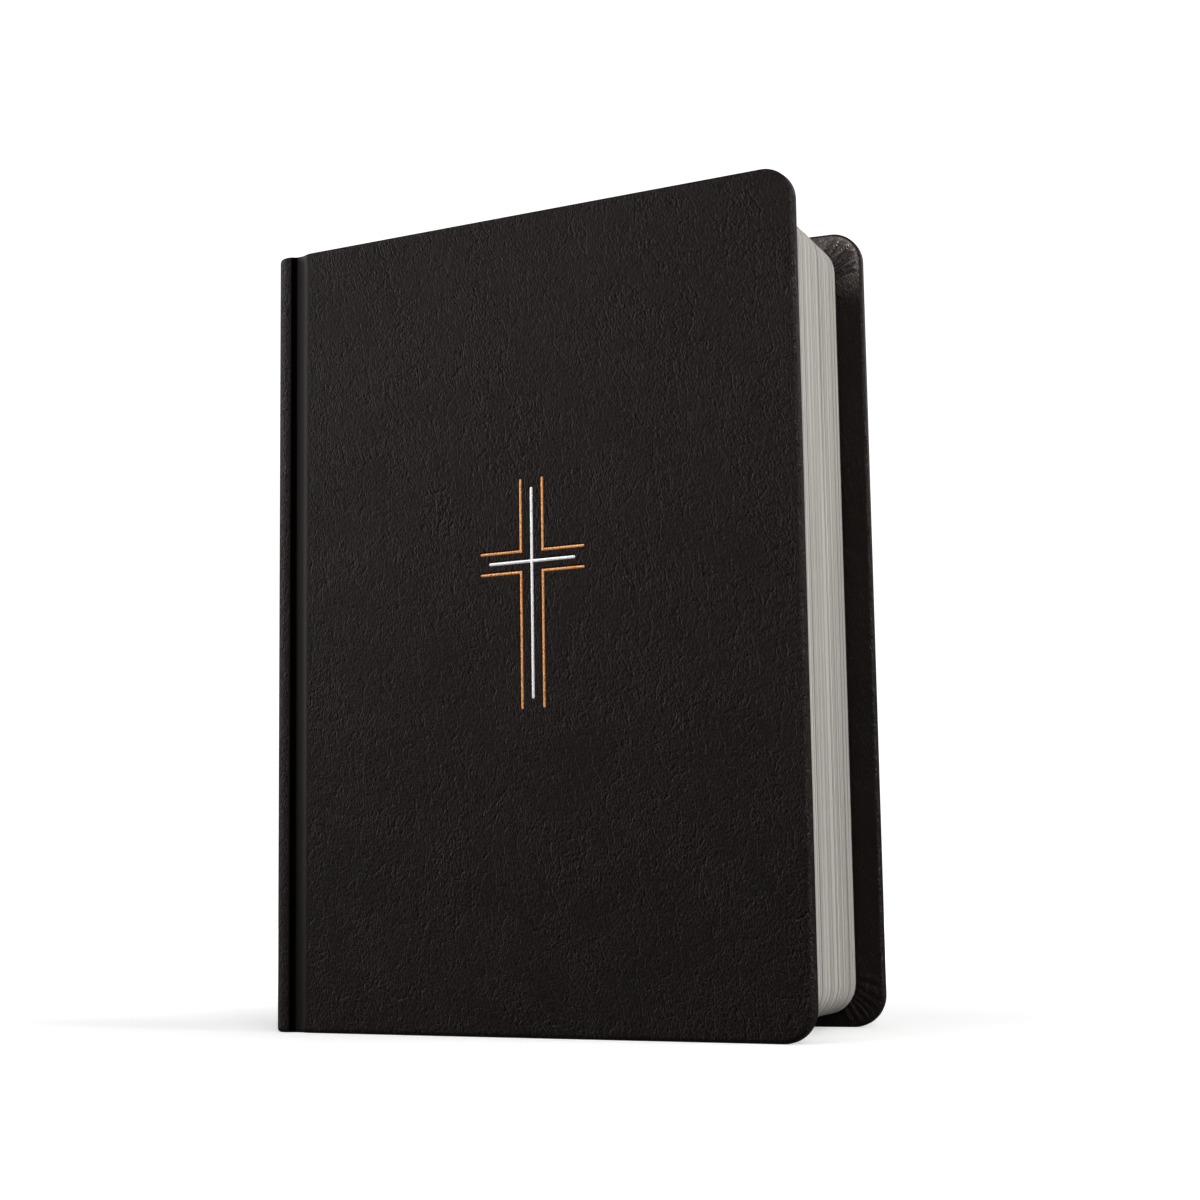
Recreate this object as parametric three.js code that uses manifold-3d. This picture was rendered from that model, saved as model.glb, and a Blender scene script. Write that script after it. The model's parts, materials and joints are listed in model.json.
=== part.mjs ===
// A large leather-covered bible standing on its tail edge with the front cover slightly ajar.
// Units are millimetres and +Z is up. Leaves run along +X from the spine to the fore-edge,
// the front cover faces -Y and the back cover faces +Y.
import * as THREE from 'three';
import { mergeVertices } from 'three/addons/utils/BufferGeometryUtils.js';
import Module from 'manifold-3d';

const wasm = await Module();
wasm.setup();

// ---- driving dimensions ----
const HEIGHT = 240;          // covers, head to tail
const WIDTH = 164.5;         // cover, joint edge to fore-edge
const THICKNESS = 52;        // outside of front cover to outside of back cover, closed
const AJAR = 7.5;            // degrees that the front cover stands open at rest
const CORNER = 9.5;          // cover corner radius
const GAP = 0.1;             // glue line between flat glued layers
const SKIN = 0.9;            // leather
const PARED = 0.6;           // leather turned in and thinned
const BOARD = 2.4;           // cover board
const SPINE_CARD = 0.8;      // card that stiffens the spine
const TURN_IN = 17;          // width of leather turned over onto the inside of a board
const ENDPAPER = 0.3;
const WINDOW_CORNER = 2;     // corners of the opening that the turned-in leather leaves
const BOARD_START = 1.2;     // from the joint edge of the cover
const PASTEDOWN_INSET = 8.5; // bare turn-in left around the pastedown
const PASTEDOWN_START = 2;
const PASTEDOWN_CORNER = 6;
const PAD_START = 2.6;       // part of the pastedown that is bonded to the board
const PAD_CORNER = 1.8;

const HALF = THICKNESS / 2;
const HINGE = { x: -3.2, y: HALF - 0.6 };   // cover hinge line, in the groove beside the spine
const GROOVE_DEPTH = 2.1;
const LIP_ROOT = 0.1;        // overlap of the sloping lip with the flat of the cover
const LIP_CLEARANCE = 0.8;   // from the hinge line to the end of the lip
const JOINT_START = 0.3;     // joint leather from the edge of the spine leather
const JOINT_END = 0.3;       // and beyond the hinge line
const COVER_DEPTH = SKIN + BOARD + PARED + 2 * GAP;

const SPINE_LEFT = -6.2;     // where the spine ridge drops into the groove
const RIDGE_DROP = 0.9;      // ridge below the board surface
const RIDGE_RADIUS = 4.5;
const RIDGE_BACK = 1.8;      // centre of the ridge's rounding from the groove
const SPINE_TURN = 14;       // degrees of the spine arc's tangent at the ridges
const SHOULDER = { width: 1.9, bevelWidth: 0.5, bevelDrop: 0.4 };  // step from ridge to groove
const POCKET_TRIM = 0.15;    // radians by which the card's pocket stops short of each ridge's end
const CARD_TRIM = 0.45;      // the same for the card
const SPINE_WINDOW_BITE = 0.3;  // how far the window cuts into the card's pocket

const PAGE_SQUARE = 4;       // cover beyond the leaves at head and tail
const PAGE_END = 156.5;      // fore-edge of the leaves
const PAGE_CORNER = 9;
const FOLD = -6.9;           // fold line of the sections
const SECTION_COUNT = 24;
const SECTION_PITCH = 1.745;
const SECTION_GAP = 0.1;
const GUTTER = 2;            // line about which the turning leaves bend
const GUTTER_GAP = 0.4;
const ROOT = 6;              // length over which a section thins towards its fold or bend
const ROOT_THICKNESS = 0.3;
// share of the front cover's opening that each front section follows, outermost first
const FRONT_SHARES = [0.48, 0.4, 0.32, 0.25, 0.19, 0.14, 0.1, 0.07, 0.045, 0.025, 0.01];
const BACK_SECTIONS = 6;     // rear sections that follow the back cover
const FLYLEAF_SHARE = 0.56;
const FLYLEAF_START = 4;     // from its line of bending
const BLOCK_HALF = SECTION_COUNT * SECTION_PITCH / 2;
const FLYLEAF_Y = BLOCK_HALF + 0.27;

const BINDING_HALF = BLOCK_HALF - 0.6;      // stitching, lining and end bands
const STITCH_ROWS = 5;
const STITCH_HEIGHT = 2;
const THREAD = 0.5;
const THREAD_X1 = FOLD - 0.15;
const MULL = 0.5;            // lining cloth
const MULL_X1 = THREAD_X1 - THREAD - GAP;
const MULL_INSET = 10;       // from head and tail
const BAND_RADIUS = 1.5;
const BAND_SIDES = 10;
const BAND_X = FOLD + 0.4;
const BAND_SQUARE = PAGE_SQUARE - BAND_RADIUS - 0.2;   // from head and tail to a band's axis

const FOIL_DEPTH = 0.25;     // debossed channel
const FOIL_THICKNESS = 0.12;
const CROSS_WIDTH = 0.85;
const OUTLINE_WIDTH = 0.72;
const FOIL_CLEARANCE = 0.04;
const FOIL_FLOOR_GAP = 0.02; // under the foil
const CROSS = {              // in the cover's own u (from the joint) and z
  centre: { u: 79.9, z: 135.8 },
  head: 157.1, foot: 96.3,       // ends of the upright
  left: 65.9, right: 93.9,       // ends of the crossbar
  beside: 3.65, above: 3.05,     // from the cross to the corner of each outer line
  upper: 159.8, lower: 93.4,     // ends of the outer lines above and below
  reach: 13.4,                   // length of the outer lines along the crossbar
};

const CURVE_SEGMENTS = 6;
const OVERCUT = 1;           // how far a cutting solid passes through

// ---- materials ----
const make = (color, roughness, metalness = 0) =>
  new THREE.MeshStandardMaterial({ color, roughness, metalness });
const materials = {
  leather: make(0x1b1817, 0.5),
  board: make(0x6a6258, 0.95),
  endpaper: make(0x14120f, 0.8),
  page: make(0xb9b3a6, 0.85),
  mull: make(0xd8d0bd, 0.95),
  band: make(0x3a3330, 0.8),
  thread: make(0xe6dfcc, 0.8),
  silver: make(0xdfe0e2, 0.35, 0.9),
  copper: make(0xb5683f, 0.35, 0.9),
};

// ---- solids ----
function toSolid(geometry) {
  const plain = geometry.clone();
  plain.deleteAttribute('normal');
  plain.deleteAttribute('uv');
  const merged = mergeVertices(plain, 1e-4);
  const mesh = new wasm.Mesh({
    numProp: 3,
    vertProperties: new Float32Array(merged.attributes.position.array),
    triVerts: new Uint32Array(merged.index.array),
  });
  return new wasm.Manifold(mesh);
}

function toGeometry(solid) {
  const mesh = solid.getMesh();
  const geometry = new THREE.BufferGeometry();
  geometry.setAttribute('position', new THREE.BufferAttribute(new Float32Array(mesh.vertProperties), 3));
  geometry.setIndex(new THREE.BufferAttribute(new Uint32Array(mesh.triVerts), 1));
  const flat = geometry.toNonIndexed();
  flat.computeVertexNormals();
  return flat;
}

// an outline drawn in X and Z, filled from y0 to y1
function slabXZ(shape, y0, y1) {
  const geometry = new THREE.ExtrudeGeometry(shape, {
    depth: y1 - y0, bevelEnabled: false, curveSegments: CURVE_SEGMENTS,
  });
  return geometry.rotateX(Math.PI / 2).translate(0, y1, 0);
}

// an outline drawn in X and Y, filled from z0 to z1
function columnXY(shape, z0, z1) {
  const geometry = new THREE.ExtrudeGeometry(shape, {
    depth: z1 - z0, bevelEnabled: false, curveSegments: CURVE_SEGMENTS,
  });
  return geometry.translate(0, 0, z0);
}

// a rectangle in X and Z whose two corners at the fore-edge are rounded
function leafShape(x0, x1, z0, z1, radius) {
  const shape = new THREE.Shape();
  shape.moveTo(x0, z0);
  shape.lineTo(x1 - radius, z0);
  shape.absarc(x1 - radius, z0 + radius, radius, -Math.PI / 2, 0, false);
  shape.lineTo(x1, z1 - radius);
  shape.absarc(x1 - radius, z1 - radius, radius, 0, Math.PI / 2, false);
  shape.lineTo(x0, z1);
  shape.closePath();
  return shape;
}

function polygon(points) {
  return new THREE.Shape(points.map(([x, y]) => new THREE.Vector2(x, y)));
}

function box(x0, x1, y0, y1, z0, z1) {
  const geometry = new THREE.BoxGeometry(x1 - x0, y1 - y0, z1 - z0);
  return geometry.translate((x0 + x1) / 2, (y0 + y1) / 2, (z0 + z1) / 2);
}

function node(name, geometry, material) {
  const mesh = new THREE.Mesh(geometry, material);
  mesh.name = name;
  return mesh;
}

// ---- foil lines on the front cover ----
const foilLine = (u0, u1, z0, z1, width, extra) => {
  const r = width / 2 + extra;
  return { u0: Math.min(u0, u1) - r, u1: Math.max(u0, u1) + r, z0: z0 - r, z1: z1 + r };
};

function foilFigures(extra) {
  const { centre, beside, above } = CROSS;
  const figures = {
    foil_cross: [
      foilLine(centre.u, centre.u, CROSS.foot, CROSS.head, CROSS_WIDTH, extra),
      foilLine(CROSS.left, CROSS.right, centre.z, centre.z, CROSS_WIDTH, extra),
    ],
  };
  for (const [side, sign] of [['left', -1], ['right', 1]]) {
    const corner = centre.u + sign * beside;
    const end = corner + sign * CROSS.reach;
    const top = centre.z + above;
    const bottom = centre.z - above;
    figures[`foil_upper_${side}`] = [
      foilLine(corner, corner, top, CROSS.upper, OUTLINE_WIDTH, extra),
      foilLine(corner, end, top, top, OUTLINE_WIDTH, extra),
    ];
    figures[`foil_lower_${side}`] = [
      foilLine(corner, corner, CROSS.lower, bottom, OUTLINE_WIDTH, extra),
      foilLine(corner, end, bottom, bottom, OUTLINE_WIDTH, extra),
    ];
  }
  return figures;
}

function foilSolid(lines, y0, y1) {
  const parts = lines.map((line) => toSolid(box(line.u0, line.u1, y0, y1, line.z0, line.z1)));
  return parts.reduce((all, part) => all.add(part));
}

// ---- covers, built closed and on the front side; the back cover is their mirror image ----
const OUTER = -HALF;
const BOARD_Y0 = OUTER + SKIN + GAP;
const BOARD_Y1 = BOARD_Y0 + BOARD;
const INNER = OUTER + COVER_DEPTH;
const LIP_END = { x: HINGE.x + LIP_CLEARANCE, y: OUTER + GROOVE_DEPTH };

function coverLeather(withFoil) {
  const shell = toSolid(slabXZ(leafShape(0, WIDTH, 0, HEIGHT, CORNER), OUTER, INNER));
  const pocket = toSolid(slabXZ(
    leafShape(-OVERCUT, WIDTH - SKIN, SKIN, HEIGHT - SKIN, CORNER - SKIN),
    OUTER + SKIN, BOARD_Y1 + GAP));
  const window = toSolid(slabXZ(
    leafShape(-OVERCUT, WIDTH - TURN_IN, TURN_IN, HEIGHT - TURN_IN, WINDOW_CORNER),
    BOARD_Y1, INNER + OVERCUT));
  const lip = toSolid(columnXY(polygon([
    [LIP_ROOT, OUTER], [LIP_ROOT, OUTER + SKIN], [LIP_END.x, LIP_END.y + SKIN],
    [LIP_END.x, LIP_END.y],
  ]), 0, HEIGHT));
  let leather = shell.subtract(pocket).subtract(window).add(lip);
  if (withFoil) {
    for (const lines of Object.values(foilFigures(FOIL_CLEARANCE))) {
      leather = leather.subtract(foilSolid(lines, OUTER - OVERCUT, OUTER + FOIL_DEPTH));
    }
  }
  return leather;
}

function boardSolid() {
  const inset = SKIN + GAP;
  const shape = leafShape(BOARD_START, WIDTH - inset, inset, HEIGHT - inset, CORNER - inset);
  return toSolid(slabXZ(shape, BOARD_Y0, BOARD_Y1));
}

// the pastedown spans the turned-in leather and is bonded to the board inside it
function pastedownSolid() {
  const inset = PASTEDOWN_INSET;
  const y0 = INNER + GAP;
  const sheet = toSolid(slabXZ(
    leafShape(PASTEDOWN_START, WIDTH - inset, inset, HEIGHT - inset, PASTEDOWN_CORNER),
    y0, y0 + ENDPAPER));
  const edge = TURN_IN + 2 * GAP;
  const pad = toSolid(slabXZ(
    leafShape(PAD_START, WIDTH - edge, edge, HEIGHT - edge, PAD_CORNER),
    BOARD_Y1 + GAP, y0 + ENDPAPER));
  return sheet.add(pad);
}

const mirrorY = (solid) => solid.mirror([0, 1, 0]);

// ---- spine ----
// the curved outside of the spine at a depth below the surface, from the front ridge to the back
function spineCurve(depth, firstAngle) {
  const turn = THREE.MathUtils.degToRad(SPINE_TURN);
  const ridge = { x: SPINE_LEFT - RIDGE_BACK, y: OUTER + RIDGE_DROP + RIDGE_RADIUS };
  const join = {
    x: ridge.x - RIDGE_RADIUS * Math.cos(turn), y: ridge.y - RIDGE_RADIUS * Math.sin(turn),
  };
  const radius = -join.y / Math.sin(turn);
  const centre = join.x + radius * Math.cos(turn);
  const points = [];
  const corner = (angle) => [
    ridge.x + (RIDGE_RADIUS - depth) * Math.cos(angle),
    ridge.y + (RIDGE_RADIUS - depth) * Math.sin(angle),
  ];
  const cornerSteps = 5;
  const last = -Math.PI + turn;
  for (let i = 0; i <= cornerSteps; i += 1) {
    points.push(corner(firstAngle + (last - firstAngle) * i / cornerSteps));
  }
  const arcSteps = 10;
  for (let i = 1; i < arcSteps; i += 1) {
    const angle = -turn + 2 * turn * i / arcSteps;
    points.push([centre - (radius - depth) * Math.cos(angle), (radius - depth) * Math.sin(angle)]);
  }
  const back = points.slice(0, cornerSteps + 1).map(([x, y]) => [x, -y]).reverse();
  return points.concat(back);
}

function spineBand(depth0, depth1, firstAngle, z0, z1) {
  const outside = spineCurve(depth0, firstAngle);
  const inside = spineCurve(depth1, firstAngle).reverse();
  return toSolid(columnXY(polygon(outside.concat(inside)), z0, z1));
}

function spineLeatherSolid() {
  const down = -Math.PI / 2;
  const stiff = SKIN + SPINE_CARD + 2 * GAP;
  const shell = spineBand(0, stiff + PARED, down, 0, HEIGHT);
  const pocket = spineBand(SKIN, stiff, down - POCKET_TRIM, SKIN, HEIGHT - SKIN);
  const window = spineBand(
    stiff - SPINE_WINDOW_BITE, stiff + PARED + OVERCUT, down, TURN_IN, HEIGHT - TURN_IN);
  const shoulder = (sign) => {
    const top = sign * (OUTER + RIDGE_DROP);
    const low = sign * (OUTER + GROOVE_DEPTH + SKIN);
    const left = SPINE_LEFT - SHOULDER.width;
    return toSolid(columnXY(polygon(orient([
      [left, top], [SPINE_LEFT - SHOULDER.bevelWidth, top],
      [SPINE_LEFT, top + sign * SHOULDER.bevelDrop], [SPINE_LEFT, low], [left, low],
    ])), 0, HEIGHT));
  };
  return shell.subtract(pocket).subtract(window).add(shoulder(1)).add(shoulder(-1));
}

// reverses a list of points where that is needed to make it run anticlockwise
function orient(points) {
  const area = points.reduce((sum, [x, y], i) => {
    const [nx, ny] = points[(i + 1) % points.length];
    return sum + x * ny - nx * y;
  }, 0);
  return area < 0 ? points.slice().reverse() : points;
}

function spineStiffenerSolid() {
  const inset = SKIN + GAP;
  return spineBand(inset, inset + SPINE_CARD, -Math.PI / 2 - CARD_TRIM, inset, HEIGHT - inset);
}

function jointLeather(sign) {
  const y0 = OUTER + GROOVE_DEPTH;
  const strip = box(SPINE_LEFT + JOINT_START, HINGE.x + JOINT_END, y0, y0 + SKIN, 0, HEIGHT);
  return sign > 0 ? toGeometry(mirrorY(toSolid(strip))) : strip;
}

// ---- leaves ----
// a group of folded leaves from the line x = start, thinned towards it, centred on y = 0
function sectionGeometry(start) {
  const half = (SECTION_PITCH - SECTION_GAP) / 2;
  const root = ROOT_THICKNESS / 2;
  const face = toSolid(slabXZ(
    leafShape(start, PAGE_END, PAGE_SQUARE, HEIGHT - PAGE_SQUARE, PAGE_CORNER), -half, half));
  const plan = toSolid(columnXY(polygon([
    [start, -root], [start + ROOT, -half], [PAGE_END + OVERCUT, -half],
    [PAGE_END + OVERCUT, half], [start + ROOT, half], [start, root],
  ]), 0, HEIGHT));
  return toGeometry(face.intersect(plan).translate([-start, 0, 0]));
}

// the sewn folds of the sections that turn, as one comb between the spine and the gutter
function rootsGeometry(firstY, count) {
  const notch = FOLD + (GUTTER - FOLD) / 2;
  const points = [[GUTTER - GUTTER_GAP, firstY + SECTION_PITCH * count - SECTION_GAP / 2]];
  for (let i = count - 1; i >= 0; i -= 1) {
    const y = firstY + SECTION_PITCH * (i + 0.5);
    points.push([notch, y + SECTION_PITCH / 2 - SECTION_GAP / 2]);
    points.push([FOLD, y + ROOT_THICKNESS], [FOLD, y - ROOT_THICKNESS]);
  }
  points.push([notch, firstY + SECTION_GAP / 2], [GUTTER - GUTTER_GAP, firstY + SECTION_GAP / 2]);
  return columnXY(polygon(points), PAGE_SQUARE, HEIGHT - PAGE_SQUARE);
}

function flyleafGeometry() {
  const shape = leafShape(
    FLYLEAF_START, PAGE_END - GUTTER, PAGE_SQUARE, HEIGHT - PAGE_SQUARE, PAGE_CORNER);
  return slabXZ(shape, -ENDPAPER / 2, ENDPAPER / 2);
}

// ---- assembly ----
const book = new THREE.Group();
const degrees = THREE.MathUtils.degToRad;

const frontCover = new THREE.Group();
frontCover.position.set(HINGE.x, -HINGE.y, 0);
frontCover.rotation.z = -degrees(AJAR);
const frontOffset = new THREE.Group();
frontOffset.position.set(-HINGE.x, HINGE.y, 0);
frontCover.add(frontOffset);
book.add(frontCover);

const backCover = new THREE.Group();
book.add(backCover);

frontOffset.add(node('front_cover_leather', toGeometry(coverLeather(true)), materials.leather));
frontOffset.add(node('front_board', toGeometry(boardSolid()), materials.board));
frontOffset.add(node('front_pastedown', toGeometry(pastedownSolid()), materials.endpaper));
backCover.add(node('back_cover_leather', toGeometry(mirrorY(coverLeather(false))), materials.leather));
backCover.add(node('back_board', toGeometry(mirrorY(boardSolid())), materials.board));
backCover.add(node('back_pastedown', toGeometry(mirrorY(pastedownSolid())), materials.endpaper));

for (const [name, lines] of Object.entries(foilFigures(0))) {
  const y1 = OUTER + FOIL_DEPTH - FOIL_FLOOR_GAP;
  const solid = foilSolid(lines, y1 - FOIL_THICKNESS, y1);
  const material = name === 'foil_cross' ? materials.silver : materials.copper;
  frontOffset.add(node(name, toGeometry(solid), material));
}

book.add(node('spine_leather', toGeometry(spineLeatherSolid()), materials.leather));
book.add(node('spine_stiffener', toGeometry(spineStiffenerSolid()), materials.board));
book.add(node('front_joint_leather', jointLeather(-1), materials.leather));
book.add(node('back_joint_leather', jointLeather(1), materials.leather));

// sections from the front cover to the back cover; those that turn start at the gutter
const frontCount = FRONT_SHARES.length;
const turning = sectionGeometry(GUTTER);
const still = sectionGeometry(FOLD);
for (let i = 0; i < SECTION_COUNT; i += 1) {
  const turns = i < frontCount || i >= SECTION_COUNT - BACK_SECTIONS;
  const name = `section_${String(i + 1).padStart(2, '0')}`;
  const mesh = node(name, (turns ? turning : still).clone(), materials.page);
  mesh.position.set(turns ? GUTTER : FOLD, -BLOCK_HALF + SECTION_PITCH * (i + 0.5), 0);
  mesh.rotation.z = -degrees(AJAR * (FRONT_SHARES[i] ?? 0));
  book.add(mesh);
}

const backRootsY = BLOCK_HALF - SECTION_PITCH * BACK_SECTIONS;
book.add(node('front_roots', rootsGeometry(-BLOCK_HALF, frontCount), materials.page));
book.add(node('back_roots', rootsGeometry(backRootsY, BACK_SECTIONS), materials.page));

for (const [side, sign, share] of [['front', -1, FLYLEAF_SHARE], ['back', 1, 0]]) {
  const mesh = node(`${side}_flyleaf`, flyleafGeometry(), materials.endpaper);
  mesh.position.set(GUTTER, sign * FLYLEAF_Y, 0);
  mesh.rotation.z = -degrees(AJAR * share);
  book.add(mesh);
}

// ---- block spine: stitching, cloth lining and end bands ----
for (let i = 0; i < STITCH_ROWS; i += 1) {
  const z = HEIGHT * (i + 0.5) / STITCH_ROWS;
  const row = box(THREAD_X1 - THREAD, THREAD_X1, -BINDING_HALF, BINDING_HALF,
    z - STITCH_HEIGHT / 2, z + STITCH_HEIGHT / 2);
  book.add(node(`stitch_row_${i + 1}`, row, materials.thread));
}
const lining = box(
  MULL_X1 - MULL, MULL_X1, -BINDING_HALF, BINDING_HALF, MULL_INSET, HEIGHT - MULL_INSET);
book.add(node('spine_lining', lining, materials.mull));

for (const [name, z] of [['head_band', HEIGHT - BAND_SQUARE], ['tail_band', BAND_SQUARE]]) {
  const band = new THREE.CylinderGeometry(BAND_RADIUS, BAND_RADIUS, 2 * BINDING_HALF, BAND_SIDES);
  book.add(node(name, band.translate(BAND_X, 0, z), materials.band));
}

// the origin is the middle of the standing book's bottom
book.updateMatrixWorld(true);
const bounds = new THREE.Box3().setFromObject(book, true);
const part = new THREE.Group();
book.position.set(-(bounds.min.x + bounds.max.x) / 2, -(bounds.min.y + bounds.max.y) / 2, -bounds.min.z);
part.add(book);
part.updateMatrixWorld(true);

export default part;
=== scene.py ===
import json
import math
import random

import bmesh
import bpy
import numpy as np
from mathutils import Matrix, Vector


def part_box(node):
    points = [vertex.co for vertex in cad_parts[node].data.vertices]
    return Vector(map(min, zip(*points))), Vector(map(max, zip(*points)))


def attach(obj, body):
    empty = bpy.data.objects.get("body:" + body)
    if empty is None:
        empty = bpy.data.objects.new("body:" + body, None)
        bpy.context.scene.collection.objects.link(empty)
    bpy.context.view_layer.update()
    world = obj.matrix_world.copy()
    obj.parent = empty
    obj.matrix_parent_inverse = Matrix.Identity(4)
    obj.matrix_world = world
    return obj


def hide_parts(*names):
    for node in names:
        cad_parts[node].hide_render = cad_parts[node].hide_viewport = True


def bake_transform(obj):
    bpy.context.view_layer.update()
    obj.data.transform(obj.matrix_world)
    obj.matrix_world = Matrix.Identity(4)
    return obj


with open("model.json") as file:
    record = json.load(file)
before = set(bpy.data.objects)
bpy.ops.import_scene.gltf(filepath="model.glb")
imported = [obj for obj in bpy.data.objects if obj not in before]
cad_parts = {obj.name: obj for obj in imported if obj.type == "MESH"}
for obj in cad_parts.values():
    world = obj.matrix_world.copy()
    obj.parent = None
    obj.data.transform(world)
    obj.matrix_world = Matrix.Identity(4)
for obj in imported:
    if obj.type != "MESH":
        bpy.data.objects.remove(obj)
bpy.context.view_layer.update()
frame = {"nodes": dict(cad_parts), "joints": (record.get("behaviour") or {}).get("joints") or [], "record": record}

# A leather-covered bible standing ajar on its tail. Shapes are worked out in millimetres with the
# book closed ("closed coordinates": the joint edge of the boards at x = 0, the middle of the block
# at y = 0, the front cover facing -Y), then opened to rest and moved to the CAD's frame in metres.
MM = 0.001
CHANCE = random.Random(7)
SHARP_ANGLE = math.radians(40)          # edges folded more than this are shaded as sharp
WELD, TINY_EDGE = 1e-6, 1e-7            # in metres: points to merge, and edges to drop

# ---- dimensions: from the frame, and a few sizes of the binding ----
JOINTS = {joint["name"]: joint for joint in frame["joints"]}


def joint_place(name):
    return np.array(JOINTS[name]["pos_m"][:2]) / MM


HINGE_TO_EDGE = 3.2
HINGE_FRONT, HINGE_BACK = joint_place("front_cover_hinge"), joint_place("back_cover_hinge")
ORIGIN = np.array([HINGE_FRONT[0] + HINGE_TO_EDGE, (HINGE_FRONT[1] + HINGE_BACK[1]) / 2, 0.0])
HINGE_Y = (HINGE_BACK[1] - HINGE_FRONT[1]) / 2
FRONT_HINGE = np.array([-HINGE_TO_EDGE, -HINGE_Y])
AJAR = -math.radians(JOINTS["front_cover_hinge"]["range_deg"][0])
SHARES = {c["joint"]: c["ratio"] for c in frame["record"]["behaviour"]["couplings"]}

COVER_HIGH = np.array(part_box("back_cover_leather")[1]) / MM - ORIGIN
HEIGHT, WIDTH, HALF = COVER_HIGH[2], COVER_HIGH[0], COVER_HIGH[1]
CORNER = 9.5
SKIN, PARED = 0.9, 0.6                  # leather, and leather thinned where it is turned in
COVER_DEPTH, SPINE_DEPTH = 4.1, 2.5
TURN_IN = 17.0
GROOVE_DEPTH, RIDGE_DROP = 2.1, 0.9
SEAM = -7.6                             # where the covers' skins meet the spine's
RIDGE_X, RIDGE_RADIUS = -8.0, 4.5
SPINE_TURN = math.radians(14)
BEND = (-6.0, -0.6)                     # the leather is bent between these, as far as the front cover stands ajar
OUTER_ROUND, INNER_ROUND = 1.25, 0.9

SECTIONS, SECTION_GAP = 24, 0.1
GUTTER = joint_place("section_01_turn")[0] - ORIGIN[0]
PITCH = joint_place("section_02_turn")[1] - joint_place("section_01_turn")[1]
FIRST_SECTION = joint_place("section_01_turn")[1] - ORIGIN[1]
SECTION_THICKNESS = PITCH - SECTION_GAP
PAGE_LOW, PAGE_HIGH = [np.array(corner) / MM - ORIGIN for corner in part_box("section_15")]
PAGE_CORNER = 9.0
SLABS = 8                               # bundles of leaves in a section


def ease(t):
    t = np.clip(t, 0.0, 1.0)
    return t * t * (3 - 2 * t)


def rising(x, start, run):
    """0 up to start, and 1 from start + run on."""
    return ease((x - start) / run)


def falling(x, end, run):
    """1 up to end - run, and 0 from end on."""
    return ease((end - x) / run)


def spread(start, end, count):
    return [start + (end - start) * i / (count - 1) for i in range(count)]


def turned(points, pivot, angle):
    """Points turned about a vertical line, clockwise from above. angle may differ per point."""
    points = np.array(points, float)
    dx, dy = points[:, 0] - pivot[0], points[:, 1] - pivot[1]
    points[:, 0] = pivot[0] + dx * np.cos(angle) + dy * np.sin(angle)
    points[:, 1] = pivot[1] - dx * np.sin(angle) + dy * np.cos(angle)
    return points


def bent(points, pivot, angle, start, end):
    """Points turned by nothing before x = start, by angle past x = end and smoothly in between."""
    points = np.array(points, float)
    return turned(points, pivot, angle * ease((points[:, 0] - start) / (end - start)))


# ---- meshes ----
def add_piece(name, points, faces, material, closed=None, grain=None):
    """A mesh object from millimetres. closed holds each point's place in the closed book, which
    the materials read, and grain how strongly the leather's grain shows there."""
    mesh = bpy.data.meshes.new(name)
    places = (np.asarray(points, float) + ORIGIN) * MM
    mesh.from_pydata(places.tolist(), [], faces)
    layer = mesh.attributes.new("closed", "FLOAT_VECTOR", "POINT")
    closed = points if closed is None else closed
    layer.data.foreach_set("vector", np.asarray(closed, np.float32).ravel())
    if grain is not None:
        layer = mesh.attributes.new("grain", "FLOAT", "POINT")
        layer.data.foreach_set("value", np.asarray(grain, np.float32))
    work = bmesh.new()
    work.from_mesh(mesh)
    bmesh.ops.remove_doubles(work, verts=work.verts, dist=WELD)
    bmesh.ops.dissolve_degenerate(work, edges=work.edges, dist=TINY_EDGE)
    bmesh.ops.recalc_face_normals(work, faces=work.faces)
    work.to_mesh(mesh)
    work.free()
    mesh.shade_smooth()
    mesh.set_sharp_from_angle(angle=SHARP_ANGLE)
    mesh.materials.append(material)
    piece = bpy.data.objects.new(name, mesh)
    bpy.context.scene.collection.objects.link(piece)
    return piece


def strip_faces(columns, rows, offset=0, ring=False):
    """Quads between neighbouring columns, each a run of rows points."""
    faces = []
    for c in range(columns - 1):
        for r in range(rows if ring else rows - 1):
            n = (r + 1) % rows
            a, b = offset + c * rows, offset + (c + 1) * rows
            faces.append((a + r, a + n, b + n, b + r))
    return faces


def end_caps(start, end, ring):
    """Two faces that close a tube of points start to end - 1, made of rings of ring points."""
    return [tuple(range(start, start + ring)), tuple(range(end - ring, end))[::-1]]


# ---- material helpers ----
def surface(name, sockets):
    material = bpy.data.materials.new(name)
    material.use_nodes = True
    shader = material.node_tree.nodes["Principled BSDF"]
    for key, value in sockets.items():
        shader.inputs[key].default_value = value
    return material, material.node_tree, shader


def add_node(tree, kind, sockets=None, **settings):
    made = tree.nodes.new("ShaderNode" + kind)
    for key, value in settings.items():
        setattr(made, key, value)
    for key, value in (sockets or {}).items():
        if isinstance(value, bpy.types.NodeSocket):
            tree.links.new(value, made.inputs[key])
        else:
            made.inputs[key].default_value = value
    return made


def calc(tree, operation, a, b=0.0):
    return add_node(tree, "Math", {0: a, 1: b}, operation=operation).outputs[0]


def times(tree, a, b):
    return calc(tree, "MULTIPLY", a, b)


def plus(tree, a, b):
    return calc(tree, "ADD", a, b)


def minus(tree, a, b):
    return calc(tree, "SUBTRACT", a, b)


def vector_calc(tree, operation, a, b):
    return add_node(tree, "VectorMath", {0: a, 1: b}, operation=operation).outputs[0]


def scaled(tree, where, scale):
    return vector_calc(tree, "MULTIPLY", where, scale)


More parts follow.
